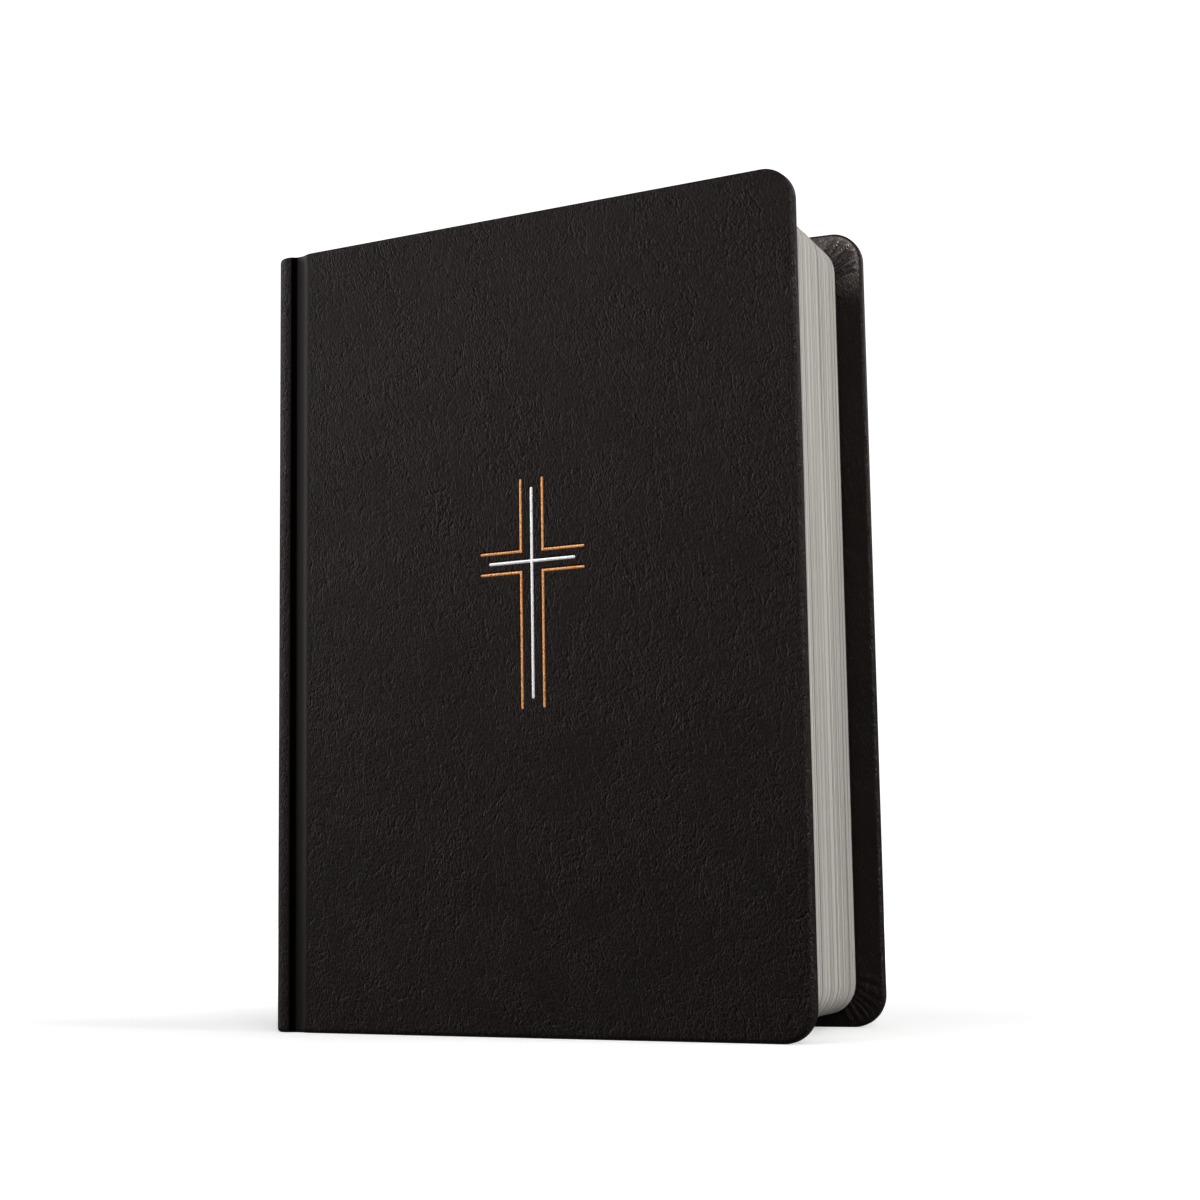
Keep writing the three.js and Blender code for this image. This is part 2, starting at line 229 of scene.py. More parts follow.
def rescale(tree, value, low, high, to_low=0.0, to_high=1.0):
    """value carried smoothly from the range low to high over to the range to_low to to_high."""
    sockets = {"Value": value, "From Min": low, "From Max": high, "To Min": to_low, "To Max": to_high}
    return add_node(tree, "MapRange", sockets, interpolation_type="SMOOTHSTEP").outputs[0]


def mix(tree, factor, a, b):
    """A blend of two colours."""
    made = tree.nodes.new("ShaderNodeMix")
    made.data_type = "RGBA"
    for socket, value in ((made.inputs[0], factor), (made.inputs[6], a), (made.inputs[7], b)):
        if isinstance(value, bpy.types.NodeSocket):
            tree.links.new(value, socket)
        else:
            socket.default_value = value
    return made.outputs[2]


def grey(value):
    return (value, value, value, 1)


def noise(tree, where, scale, detail=2.0, roughness=0.5, output="Fac"):
    sockets = {"Vector": where, "Scale": scale, "Detail": detail, "Roughness": roughness}
    return add_node(tree, "TexNoise", sockets).outputs[output]


def fold_lines(tree, along, scale, detail, roughness, half, height):
    """Winding lines, height high, that fade out where a noise is half away from its middle."""
    away = minus(tree, noise(tree, along, scale, detail, roughness), 0.5)
    return rescale(tree, calc(tree, "ABSOLUTE", away), 0.0, half, height, 0.0)


def shift_by_noise(tree, here, scale, detail, reach):
    """A wandering offset of about reach millimetres."""
    field = noise(tree, here, scale, detail, output="Color")
    return scaled(tree, vector_calc(tree, "SUBTRACT", field, (0.5, 0.5, 0.5)), (reach, reach, reach))


def stretched(tree, where, turn, scale):
    """Coordinates turned about Y by turn and then scaled."""
    sockets = {"Vector": where, "Rotation": (0, turn, 0)}
    where = add_node(tree, "Mapping", sockets, vector_type="POINT").outputs[0]
    return scaled(tree, where, scale)


def closed_place(tree):
    """The place in the closed book, in millimetres."""
    return add_node(tree, "Attribute", attribute_name="closed").outputs["Vector"]


def object_place(tree):
    """The place in the object, in metres."""
    return add_node(tree, "TexCoord").outputs["Object"]


def bump(tree, shader, height, distance):
    sockets = {"Height": height, "Distance": distance}
    tree.links.new(add_node(tree, "Bump", sockets).outputs[0], shader.inputs["Normal"])


# ---- the hide ----
GRAIN_TURN, GRAIN_SCALE = math.radians(20), (1.2, 1.2, 0.66)
SAMPLE_STEP = (0.26, 0.0, 0.07)         # to a second sample of the relief, away from the light
STEEP = 0.42                            # the rise between the samples that shows as full painted highlight or painted shade
HIDE_COLD, HIDE_WARM = (0.0078, 0.0061, 0.0058, 1), (0.0088, 0.0064, 0.0056, 1)
# painted highlight and painted shade for the grain's sides, as if lit from the left
HIDE_PAINTED_LIT, HIDE_PAINTED_SHADE = (0.030, 0.0245, 0.0225, 1), (0.001, 0.001, 0.001, 1)
# painted sheen near the fore-edge corners, and painted shade for the pit of the grooves
HIDE_PAINTED_SHEEN, HIDE_PAINTED_PIT_SHADE = (0.026, 0.021, 0.022, 1), (0.0003, 0.0003, 0.0003, 1)
HIDE_TINT = (1.0, 0.84, 0.79, 1)        # of its gloss
ROUGH_HIDE, ROUGH_LOSS = 0.44, 0.16     # and how much smoother it is where it shines
# gloss, raised on the grain's painted lit sides and lowered on its painted shaded sides
GLOSS, PAINTED_LIT_GLOSS, PAINTED_SHADE_GLOSS, SHINY_GLOSS = 0.17, 0.12, 0.1, 1.5
GRAIN_HEIGHT = 0.36


def hide_relief(tree, along):
    """Height of the hide's grain: fine strokes with narrow valleys between cells, raised wrinkles
    and long creases."""
    cells = add_node(tree, "TexVoronoi", {"Vector": along, "Scale": 1.0, "Randomness": 1.0},
                     feature="DISTANCE_TO_EDGE").outputs["Distance"]
    valley = rescale(tree, cells, 0.0, 0.25, 0.3, 0.0)
    strokes = times(tree, noise(tree, along, 1.5), 0.5)
    wrinkle = fold_lines(tree, along, 0.6, 1.0, 0.4, 0.05, 0.22)
    crease = fold_lines(tree, along, 0.17, 2.0, 0.55, 0.026, 0.42)
    return minus(tree, plus(tree, minus(tree, strokes, valley), wrinkle), crease)


def leather_material():
    """Black hide: fine steep grain whose direction wanders, its sides given painted highlight and painted shade.
    The grain attribute is 0 in the pit of the grooves, where the hide is painted dark as shade, 1 on the covers
    and more where the hide is glossy and painted lighter as a sheen."""
    material, tree, shader = surface("black_grained_leather", {"Specular Tint": HIDE_TINT})
    here = closed_place(tree)
    moved = vector_calc(tree, "ADD", here, shift_by_noise(tree, here, 0.02, 1.0, 11.0))
    moved = vector_calc(tree, "ADD", moved, shift_by_noise(tree, here, 0.35, 2.0, 0.9))
    beside = vector_calc(tree, "ADD", moved, SAMPLE_STEP)
    height = hide_relief(tree, stretched(tree, moved, GRAIN_TURN, GRAIN_SCALE))
    height_beside = hide_relief(tree, stretched(tree, beside, GRAIN_TURN, GRAIN_SCALE))
    patch = rescale(tree, noise(tree, here, 0.07), 0.36, 0.62, 0.6, 0.95)
    grain = add_node(tree, "Attribute", attribute_name="grain").outputs["Fac"]
    raised = times(tree, calc(tree, "MINIMUM", grain, 1.0), patch)
    bump(tree, shader, times(tree, height, raised), GRAIN_HEIGHT * MM)

    # the grain's sides are painted as well, lighter or darker by the way they lean: painted highlight on sides
    # that lean towards the light from the left, painted shade on sides that lean away, with the gloss raised and
    # lowered to match
    rise = times(tree, minus(tree, height_beside, height), raised)
    painted_lit_side = rescale(tree, rise, 0.0, STEEP)
    painted_shade_side = rescale(tree, rise, 0.0, -STEEP)
    # how much glossier the hide is, and how much painted sheen its colour takes
    gloss_and_painted_sheen = calc(tree, "MAXIMUM", minus(tree, grain, 1.0), 0.0)
    # painted shade: in the pit of the grooves the hide is painted nearly black and its gloss cut
    outside_pit_shade = rescale(tree, grain, 0.0, 0.13, 0.04, 1.0)
    colour = mix(tree, rescale(tree, noise(tree, here, 0.035), 0.35, 0.65), HIDE_COLD, HIDE_WARM)
    for share, shade in ((painted_lit_side, HIDE_PAINTED_LIT), (painted_shade_side, HIDE_PAINTED_SHADE), (gloss_and_painted_sheen, HIDE_PAINTED_SHEEN)):
        colour = mix(tree, share, colour, shade)
    colour = mix(tree, outside_pit_shade, HIDE_PAINTED_PIT_SHADE, colour)
    tree.links.new(colour, shader.inputs["Base Color"])
    rough = minus(tree, ROUGH_HIDE, times(tree, gloss_and_painted_sheen, ROUGH_LOSS))
    tree.links.new(rough, shader.inputs["Roughness"])
    gloss = plus(tree, times(tree, painted_lit_side, PAINTED_LIT_GLOSS), GLOSS)
    gloss = minus(tree, gloss, times(tree, painted_shade_side, PAINTED_SHADE_GLOSS))
    gloss = plus(tree, gloss, times(tree, gloss_and_painted_sheen, SHINY_GLOSS))
    tree.links.new(times(tree, gloss, outside_pit_shade), shader.inputs["Specular IOR Level"])
    return material


# ---- the other materials ----
PAPER_SHADE, PAPER_LIGHT = (0.40, 0.38, 0.35, 1), (0.70, 0.675, 0.63, 1)
ENDPAPER_DARK, ENDPAPER_LIGHT = (0.010, 0.0095, 0.009, 1), (0.016, 0.015, 0.0145, 1)
BOARD_DARK, BOARD_LIGHT, BOARD_SEAM = (0.11, 0.10, 0.085, 1), (0.20, 0.18, 0.155, 1), (0.08, 0.07, 0.06, 1)
LINING_DARK, LINING_LIGHT, LINING_PITCH = (0.30, 0.27, 0.21, 1), (0.62, 0.58, 0.49, 1), 0.9
SILK_DARK, SILK_LIGHT, SILK_SHADE = (0.012, 0.011, 0.011, 1), (0.30, 0.28, 0.25, 1), (0.05, 0.045, 0.04, 1)
STRIPE = 1.2                            # width of a stripe of silk
THREAD_DARK, THREAD_LIGHT = (0.42, 0.38, 0.30, 1), (0.72, 0.68, 0.58, 1)
SILVER_COLOURS = ((0.45, 0.45, 0.46, 1), (0.88, 0.88, 0.88, 1), (0.97, 0.97, 0.97, 1))
COPPER_COLOURS = ((0.22, 0.05, 0.02, 1), (0.72, 0.24, 0.06, 1), (1.0, 0.62, 0.30, 1))


def page_material():
    """Thin paper: leaf edges show as fine uneven lines along X and Z."""
    material, tree, shader = surface("page_paper", {"Specular IOR Level": 0.25, "Roughness": 0.78})
    here = closed_place(tree)
    broad = noise(tree, scaled(tree, here, (0.004, 0.26, 0.0012)), 1.0, 1.0)
    narrow = noise(tree, scaled(tree, here, (0.01, 1.1, 0.004)), 1.0, 3.0, 0.7)
    hair = noise(tree, scaled(tree, here, (0.05, 3.0, 0.012)), 1.0)
    value = plus(tree, times(tree, rescale(tree, broad, 0.35, 0.65), 0.3),
                 times(tree, rescale(tree, narrow, 0.38, 0.62), 0.42))
    value = plus(tree, value, times(tree, rescale(tree, hair, 0.38, 0.62), 0.34))
    tree.links.new(mix(tree, value, PAPER_SHADE, PAPER_LIGHT), shader.inputs["Base Color"])
    bump(tree, shader, plus(tree, narrow, times(tree, hair, 0.4)), 0.06 * MM)
    return material


def endpaper_material():
    """Black uncoated paper: soft clouds and paler fibres."""
    material, tree, shader = surface("black_endpaper", {"Specular IOR Level": 0.3})
    here = object_place(tree)
    fibre = noise(tree, here, 900.0, 4.0, 0.7)
    cloud = rescale(tree, noise(tree, here, 60.0, 3.0), 0.3, 0.7)
    colour = mix(tree, cloud, ENDPAPER_DARK, ENDPAPER_LIGHT)
    colour = mix(tree, times(tree, rescale(tree, fibre, 0.55, 0.8), 0.5), colour, grey(0.03))
    tree.links.new(colour, shader.inputs["Base Color"])
    tree.links.new(rescale(tree, fibre, 0.2, 0.8, 0.72, 0.9), shader.inputs["Roughness"])
    bump(tree, shader, fibre, 0.03 * MM)
    return material


def board_material():
    """Grey pulp board, in layers across its thickness."""
    material, tree, shader = surface("grey_board", {"Roughness": 0.9, "Specular IOR Level": 0.2})
    here = object_place(tree)
    pulp = noise(tree, here, 700.0, 5.0, 0.7)
    layers = noise(tree, scaled(tree, here, (40, 2200, 40)), 1.0)
    colour = mix(tree, pulp, BOARD_DARK, BOARD_LIGHT)
    colour = mix(tree, times(tree, layers, 0.4), colour, BOARD_SEAM)
    tree.links.new(colour, shader.inputs["Base Color"])
    bump(tree, shader, pulp, 0.08 * MM)
    return material


def woven_material(name, dark, light, pitch):
    """Plain open weave across Y and Z, with a thread every pitch millimetres."""
    sockets = {"Roughness": 0.9, "Specular IOR Level": 0.15, "Sheen Weight": 0.2}
    material, tree, shader = surface(name, sockets)
    here = scaled(tree, object_place(tree), (math.pi / pitch / MM,) * 3)
    parts = add_node(tree, "SeparateXYZ", {0: here}).outputs
    warp = calc(tree, "ABSOLUTE", calc(tree, "SINE", parts["Y"]))
    weft = calc(tree, "ABSOLUTE", calc(tree, "SINE", parts["Z"]))
    over = calc(tree, "MAXIMUM", warp, weft)
    fluff = noise(tree, here, 2.0, 3.0)
    colour = mix(tree, rescale(tree, over, 0.55, 0.95), dark, light)
    colour = mix(tree, times(tree, fluff, 0.3), colour, dark)
    tree.links.new(colour, shader.inputs["Base Color"])
    bump(tree, shader, over, 0.2 * MM)
    return material


def band_material():
    """Cord sewn over with two colours of silk, in stripes along the band."""
    material, tree, shader = surface("striped_band", {"Roughness": 0.55, "Sheen Weight": 0.3})
    here = closed_place(tree)
    parts = add_node(tree, "SeparateXYZ", {0: here}).outputs
    stripe = calc(tree, "SINE", times(tree, parts["Y"], math.pi / STRIPE))
    silk = noise(tree, scaled(tree, here, (0.6, 7.0, 0.6)), 1.5)
    colour = mix(tree, rescale(tree, stripe, -0.25, 0.25), SILK_DARK, SILK_LIGHT)
    colour = mix(tree, times(tree, silk, 0.35), colour, SILK_SHADE)
    tree.links.new(colour, shader.inputs["Base Color"])
    bump(tree, shader, silk, 0.1 * MM)
    return material


def thread_material():
    """Twisted linen."""
    material, tree, shader = surface("linen_thread", {"Roughness": 0.7, "Sheen Weight": 0.2})
    ply = noise(tree, scaled(tree, object_place(tree), (1500, 900, 2600)), 1.0, 3.0)
    tree.links.new(mix(tree, ply, THREAD_DARK, THREAD_LIGHT), shader.inputs["Base Color"])
    bump(tree, shader, ply, 0.1 * MM)
    return material


def foil_material(name, colours, metal):
    """Hot-stamped foil: it takes the leather's grain, so it glitters unevenly. It also glows faintly in its own
    colour, painted light that keeps it bright.
    """
    deep, body, bright = colours
    # painted light: the foil glows in its own colour at strength 0.3, though it is no lamp
    sockets = {"Metallic": metal, "Specular IOR Level": 0.6, "Emission Strength": 0.3}
    material, tree, shader = surface(name, sockets)
    here = closed_place(tree)
    speck = noise(tree, here, 2.4, 3.0, 0.7)
    patch = noise(tree, here, 0.7)
    colour = mix(tree, rescale(tree, speck, 0.46, 0.60), body, bright)
    colour = mix(tree, rescale(tree, speck, 0.44, 0.34), colour, deep)
    colour = mix(tree, times(tree, patch, 0.3), colour, body)
    tree.links.new(colour, shader.inputs["Base Color"])
    tree.links.new(colour, shader.inputs["Emission Color"])
    tree.links.new(rescale(tree, patch, 0.3, 0.7, 0.24, 0.4), shader.inputs["Roughness"])
    bump(tree, shader, speck, 0.08 * MM)
    return material


LEATHER = leather_material()
PAPER = page_material()
ENDPAPER = endpaper_material()
BOARD = board_material()
BAND = band_material()
SILVER = foil_material("silver_foil", SILVER_COLOURS, 0.75)
COPPER = foil_material("copper_foil", COPPER_COLOURS, 0.7)
LINING = woven_material("lining_cloth", LINING_DARK, LINING_LIGHT, LINING_PITCH)
STITCHES = [name for name in frame["nodes"] if name.startswith("stitch_row_")]
for nodes, material in (
    (("front_board", "back_board", "spine_stiffener"), BOARD),
    (("front_pastedown", "back_pastedown"), ENDPAPER),
    (("spine_lining",), LINING),
    (STITCHES, thread_material()),
):
    for name in nodes:
        frame["nodes"][name].data.materials.clear()
        frame["nodes"][name].data.materials.append(material)


# ---- foil figures, in the front cover's closed coordinates ----
UPRIGHT_X, CROSSBAR_Z = 79.9, 135.8
CROSS_ENDS = {"head": 157.1, "foot": 96.3, "left": 65.9, "right": 93.9}
BESIDE, ABOVE, UPPER, LOWER, REACH = 3.65, 3.05, 159.8, 93.4, 13.4
CROSS_HALF, OUTLINE_HALF = 0.425, 0.36
FOIL_SINK, FOIL_CROWN, FOIL_UNDER = 0.25, 0.07, 0.23
FOIL_FALL, TIP_FALL = 0.11, 0.13        # of the foil's sides below its crown
CHANNEL_ROOM, CHANNEL_WALL = 0.05, 0.3  # the stamped channel beside the foil
LINE_REACH, TIP_PAST = 0.95, 0.3        # the cover's grid is fine this far beside and past a line
TIP_REACH_X, TIP_REACH_Z = 0.5, 0.6


def foil_lines():
    """Each figure's lines: two ends, half a width, and which ends are round."""
    foot, head = (UPRIGHT_X, CROSS_ENDS["foot"]), (UPRIGHT_X, CROSS_ENDS["head"])
    left, right = (CROSS_ENDS["left"], CROSSBAR_Z), (CROSS_ENDS["right"], CROSSBAR_Z)
    lines = {"foil_cross": [(foot, head, CROSS_HALF, (True, True)), (left, right, CROSS_HALF, (True, True))]}
    for side, sign in (("left", -1), ("right", 1)):
        for level, rise, tip in (("upper", 1, UPPER), ("lower", -1, LOWER)):
            x, z = UPRIGHT_X + sign * BESIDE, CROSSBAR_Z + rise * ABOVE
            lines[f"foil_{level}_{side}"] = [
                ((x, z), (x, tip), OUTLINE_HALF, (False, True)),
                ((x, z), (x + sign * REACH, z), OUTLINE_HALF, (False, True)),
            ]
    return lines


FOIL_LINES = foil_lines()


def line_direction(start, end):
    length = math.dist(start, end)
    return length, (end[0] - start[0]) / length, (end[1] - start[1]) / length


def channel_depth(x, z):
    """How deep the stamped channels are at points of the front cover's face."""
    depth = np.zeros_like(x)
    for lines in FOIL_LINES.values():
        for (x0, z0), end, half, _ in lines:
            length, ux, uz = line_direction((x0, z0), end)
            run = np.clip((x - x0) * ux + (z - z0) * uz, 0, length)
            away = np.hypot(x - x0 - run * ux, z - z0 - run * uz) - half - CHANNEL_ROOM
            depth = np.maximum(depth, FOIL_SINK * (1 - ease(away / CHANNEL_WALL)))
    return depth


def foil_marks():
    """Places along X and along Z where the front cover's grid is fine, each with a reach."""
    tip = BESIDE + REACH + TIP_PAST
    across = [(UPRIGHT_X + sign * BESIDE, LINE_REACH) for sign in (-1, 0, 1)]
    across += [(x, TIP_REACH_X) for x in (
        CROSS_ENDS["left"] - TIP_PAST, CROSS_ENDS["right"] + TIP_PAST, UPRIGHT_X - tip, UPRIGHT_X + tip)]
    along = [(CROSSBAR_Z + sign * ABOVE, LINE_REACH) for sign in (-1, 0, 1)]
    along += [(z, TIP_REACH_Z) for z in (
        UPPER + TIP_PAST, LOWER - TIP_PAST, CROSS_ENDS["head"] + TIP_PAST, CROSS_ENDS["foot"] - TIP_PAST)]
    return across, along


# ---- covers ----
# across the joint, each as a place along x and a run
WALL, SLOPE, PIT_X = (-7.45, 1.8), (-5.6, 5.9), -5.65     # the groove's sides, and where they meet
INSIDE_DEPTH = 3.4                                        # of the inside below the board's face
INSIDE_STEPS = ((0.3, -7.45, 1.1), (0.4, -2.0, 3.2))      # and how much deeper it gets, and where
PIT_START, PIT_END = (-7.4, 0.7), (-4.6, 1.1)             # the grainless pit, where the leather is painted nearly black as shade
FACE_START, RIDGE_END = (-0.4, 1.8), (-7.1, 0.5)          # full grain on either side of the groove
FLANK_GRAIN = 0.15                      # share of the grain that the groove's flanks keep

INSETS_OUT = (TURN_IN, 12.0, 8.0, 5.0, 3.2, 2.0)
INSETS_IN = (1.4, 2.0, 2.6, 3.4, 4.2, 5.0, 5.8, 6.6, 7.4, 8.2, 9.2, 11.0, 14.0, TURN_IN)
ROUND_STEPS, CORNER_STEPS, JOINT_STEPS = 6, 84, 42
# columns across the joint, from it to the grid, and the grid's steps over the face
JOINT_END, JOINT_TO_GRID, GRID_START = 0.6, [0.9, 1.3, 1.9, 2.8], 4.0
GRID_X, GRID_Z, FINE_GRID = 4.0, 5.0, 0.11
EDGE_EXTRA = 0.1                        # how much thicker the leather is round an edge
OUTER_SHARE, INNER_SHARE = 0.48, 0.45   # of the depth, which an edge's rounds take at most

EVEN_INSET = 2.0                        # from here the section's width shrinks towards a corner
# near the fore-edge corners the turned-in leather is glossier and painted lighter as a sheen, strongly at the head
# and weakly at the tail
INSIDE_GRAIN, TAIL_SHEEN, HEAD_SHEEN, SHEEN_REACH = 0.5, 0.3, 1.6, 34
PLEATS_FROM, PLEATS_TO = 4.6, 25.0      # along a corner's outline
PLEAT_HALF, PLEAT_GAP, PLEAT_RISE = (0.9, 2.1), (0.0, 0.6), (0.5, 1.0)
PLEAT_FOOT, PLEAT_TOP = (6.8, 1.6), (0.9, 1.3)            # insets where pleats end and begin
TAIL_STEEP, HEAD_STEEP, PLEAT_SHAPE = 0.3, 1.0, 0.8
BACK_GRAIN_SHIFT = 300.0                # so that the back cover's grain isn't the front's


def groove(x):
    """Depth of a cover's outside below the board's face."""
    wall = RIDGE_DROP + (GROOVE_DEPTH - RIDGE_DROP) * rising(x, *WALL)
    slope = GROOVE_DEPTH * (1 - rising(x, *SLOPE))
    return np.where(x < PIT_X, wall, slope)


def skin_depth(x):
    """Depth of the wrapped cover, outside to inside: its inside is nearly flat."""
    inside = INSIDE_DEPTH
    for deeper, start, run in INSIDE_STEPS:
        inside = inside + deeper * rising(x, start, run)
    return inside - groove(x)


def joint_grain(x):
    """Share of the grain across the joint: none in the pit of the groove, where the leather is painted dark as
    shade, and little on its flanks.
    """
    pit = rising(x, *PIT_START) * falling(x, *PIT_END)
    full = np.maximum(rising(x, *FACE_START), falling(x, *RIDGE_END))
    return FLANK_GRAIN * (1 - pit) + (1 - FLANK_GRAIN) * full


def wrap_section(depth):
    """The leather's section at a wrapped edge, from the outside round to the inside and back
    under the outside, as (inset from the edge, depth below the outside)."""
    outer = min(OUTER_ROUND, depth * OUTER_SHARE)
    inner = min(INNER_ROUND, depth * INNER_SHARE)
    section = [(inset, 0.0) for inset in INSETS_OUT] + [(outer, 0.0)]
    for a in spread(0.0, math.pi / 2, ROUND_STEPS + 1)[1:]:
        section.append((outer * (1 - math.sin(a)), outer * (1 - math.cos(a))))
    for a in spread(0.0, math.pi / 2, ROUND_STEPS + 1):
        section.append((inner * (1 - math.cos(a)), depth - inner * (1 - math.sin(a))))
    section += [(inset, depth) for inset in INSETS_IN]
    under, near = depth - PARED, SKIN + EDGE_EXTRA
    section += [(TURN_IN, under), (near, under), (near, SKIN), (TURN_IN, SKIN)]
    return section


def grid_lines(low, high, step, fine=()):
    """Positions from low to high about step apart, and closer together around the fine ones."""
    marks = set(round(v, 4) for v in spread(low, high, int((high - low) / step) + 1))
    for centre, reach in fine:
        marks = {v for v in marks if abs(v - centre) > reach}
        count = int(2 * reach / FINE_GRID) + 1
        marks |= {round(v, 4) for v in spread(centre - reach, centre + reach, count)}
    return sorted(marks)


def cover_outline(xs, zs):
    """Columns round the cover's free edges: outline point, inward direction, inner corner, and
    the distance along a corner (or -1 beside the straight edges)."""
    columns = [((x, 0.0), (0.0, 1.0), (x, TURN_IN), -1.0) for x in xs]
    straight, arc = TURN_IN - CORNER, CORNER * math.pi / 2
    for tail in (True, False):
        inner = (WIDTH - TURN_IN, TURN_IN if tail else HEIGHT - TURN_IN)
        corner = []
        for i in range(1, CORNER_STEPS):
            s = (2 * straight + arc) * i / CORNER_STEPS
            a = min(max((s - straight) / CORNER, 0.0), math.pi / 2)
            run, rise = min(s, straight), max(s - straight - arc, 0.0)
            x = WIDTH - TURN_IN + run + CORNER * math.sin(a)
            z = rise + CORNER * (1 - math.cos(a))
            direction = (-math.sin(a), math.cos(a))
            if not tail:
                z, direction = HEIGHT - z, (direction[0], -direction[1])
            corner.append(((x, z), direction, inner, s))
        if tail:
            columns += corner
            columns += [((WIDTH, z), (-1.0, 0.0), (WIDTH - TURN_IN, z), -1.0) for z in zs]
        else:
            columns += corner[::-1]
    columns += [((x, HEIGHT), (0.0, -1.0), (x, HEIGHT - TURN_IN), -1.0) for x in reversed(xs)]
    return columns


def pleat_table(steep):
    """Folds of the turned-in leather at a corner: place along it, half width and height."""
    table, place = [], PLEATS_FROM
    while place < PLEATS_TO:
        half = CHANCE.uniform(*PLEAT_HALF)
        place += half + CHANCE.uniform(*PLEAT_GAP)
        table.append((place, half, steep * CHANCE.uniform(*PLEAT_RISE)))
        place += half
    return table


def pleated(q, pleats, s, x, z, inset):
    """The inside's depth q with the pleats on it, s along a corner's outline."""
    edge = min(WIDTH - x, z, HEIGHT - z)
    fade = (1 - float(rising(edge, *PLEAT_FOOT))) * float(rising(inset, *PLEAT_TOP))
    for place, half, rise in pleats:
        q += rise * fade * max(0.0, 1 - abs(s - place) / half) ** PLEAT_SHAPE
    return q


def inside_grain(x, z):
    """Grain on the turned-in leather, which is glossier near the fore-edge corners and painted lighter there as a
    sheen, more at the head than at the tail.
    """
    corner_z, corner_sheen = (z, TAIL_SHEEN) if z < HEIGHT / 2 else (HEIGHT - z, HEAD_SHEEN)
    return INSIDE_GRAIN + corner_sheen * float(ease(1 - math.hypot(WIDTH - x, corner_z) / SHEEN_REACH))


def wrapped_edge(columns):
    """Points of the leather round a cover's free edges, with the grain's strength at each."""
    points, grain = [], []
    pleats = {True: pleat_table(TAIL_STEEP), False: pleat_table(HEAD_STEEP)}
    for (px, pz), (nx, nz), (qx, qz), s in columns:
        face = -HALF + float(groove(np.array(px)))
        depth = float(skin_depth(np.array(px)))
        for inset, q in wrap_section(depth):
            near = min(inset, EVEN_INSET)
            x, z = px + nx * near, pz + nz * near
            t = max(inset - EVEN_INSET, 0.0) / (TURN_IN - EVEN_INSET)
            x, z = x + (qx - x) * t, z + (qz - z) * t
            grain.append(inside_grain(x, z) if q == depth else 1.0)
            if s >= 0 and q == depth:
                q = pleated(q, pleats[pz < HEIGHT / 2], s, x, z, inset)
            points.append((x, face + q, z))
    return points, grain


def cover_skin(side):
    """One cover's leather with its share of the groove: a grid over its face and another under
    it, and the wrapped edge round the three free sides, down onto the inside."""
    front = side == "front"
    fine_x, fine_z = foil_marks() if front else ((), ())
    xs = spread(SEAM, JOINT_END, JOINT_STEPS) + JOINT_TO_GRID
    xs += grid_lines(GRID_START, WIDTH - TURN_IN, GRID_X, fine_x)
    zs = grid_lines(TURN_IN, HEIGHT - TURN_IN, GRID_Z, fine_z)
    columns = cover_outline(xs, zs)
    points, grain = wrapped_edge(columns)
    faces = strip_faces(len(columns), len(wrap_section(COVER_DEPTH)))
    gx, gz = [a.ravel() for a in np.meshgrid(xs, zs, indexing="ij")]
    face_depth = groove(gx) + (channel_depth(gx, gz) if front else 0.0)
    for depth in (face_depth, groove(gx) + SKIN):
        faces += strip_faces(len(xs), len(zs), len(points))
        points += list(zip(gx, -HALF + depth, gz))
        grain += [1.0] * len(gx)
    closed = np.array(points)
    grain = np.array(grain) * joint_grain(closed[:, 0])
    if front:
        sign, opened = -1, bent(closed, FRONT_HINGE, AJAR, *BEND)
    else:
        sign, opened = 1, closed * np.array([1, -1, 1])
        closed = opened + np.array([BACK_GRAIN_SHIFT, 0, 0])
    piece = add_piece(f"{side}_cover_skin", opened, faces, LEATHER, closed, grain)
    close_seam(piece)
    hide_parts(f"{side}_cover_leather", f"{side}_joint_leather")
    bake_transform(piece)


def close_seam(piece):
    """Fills the skin's open end, where it meets the spine's."""
    work = bmesh.new()
    work.from_mesh(piece.data)
    edges = [e for e in work.edges if e.is_boundary]
    bmesh.ops.edgeloop_fill(work, edges=edges)
    bmesh.ops.recalc_face_normals(work, faces=work.faces)
    work.to_mesh(piece.data)
    work.free()
    piece.data.set_sharp_from_angle(angle=SHARP_ANGLE)


# ---- spine ----
SEAM_PLACES, RIDGE_PLACES, BACK_PLACES = 3, 22, 15


def spine_profile():
    """Outside of the spine from the front seam to the back one: places and inward directions."""
    ridge_y = -HALF + RIDGE_DROP + RIDGE_RADIUS
    places, inward = [], []
    for x in spread(SEAM, RIDGE_X, SEAM_PLACES)[:-1]:
        places.append((x, -HALF + RIDGE_DROP))
        inward.append((0.0, 1.0))
    for a in spread(math.pi / 2, math.pi - SPINE_TURN, RIDGE_PLACES):
        places.append((RIDGE_X + RIDGE_RADIUS * math.cos(a), ridge_y - RIDGE_RADIUS * math.sin(a)))
        inward.append((-math.cos(a), math.sin(a)))
    join_x, join_y = places[-1]
    radius = -join_y / math.sin(SPINE_TURN)
    centre = join_x + radius * math.cos(SPINE_TURN)
    for a in spread(SPINE_TURN, 0.0, BACK_PLACES)[1:]:
        places.append((centre - radius * math.cos(a), -radius * math.sin(a)))
        inward.append((math.cos(a), math.sin(a)))
    places += [(x, -y) for x, y in places[-2::-1]]
    inward += [(x, -y) for x, y in inward[-2::-1]]
    return places, inward


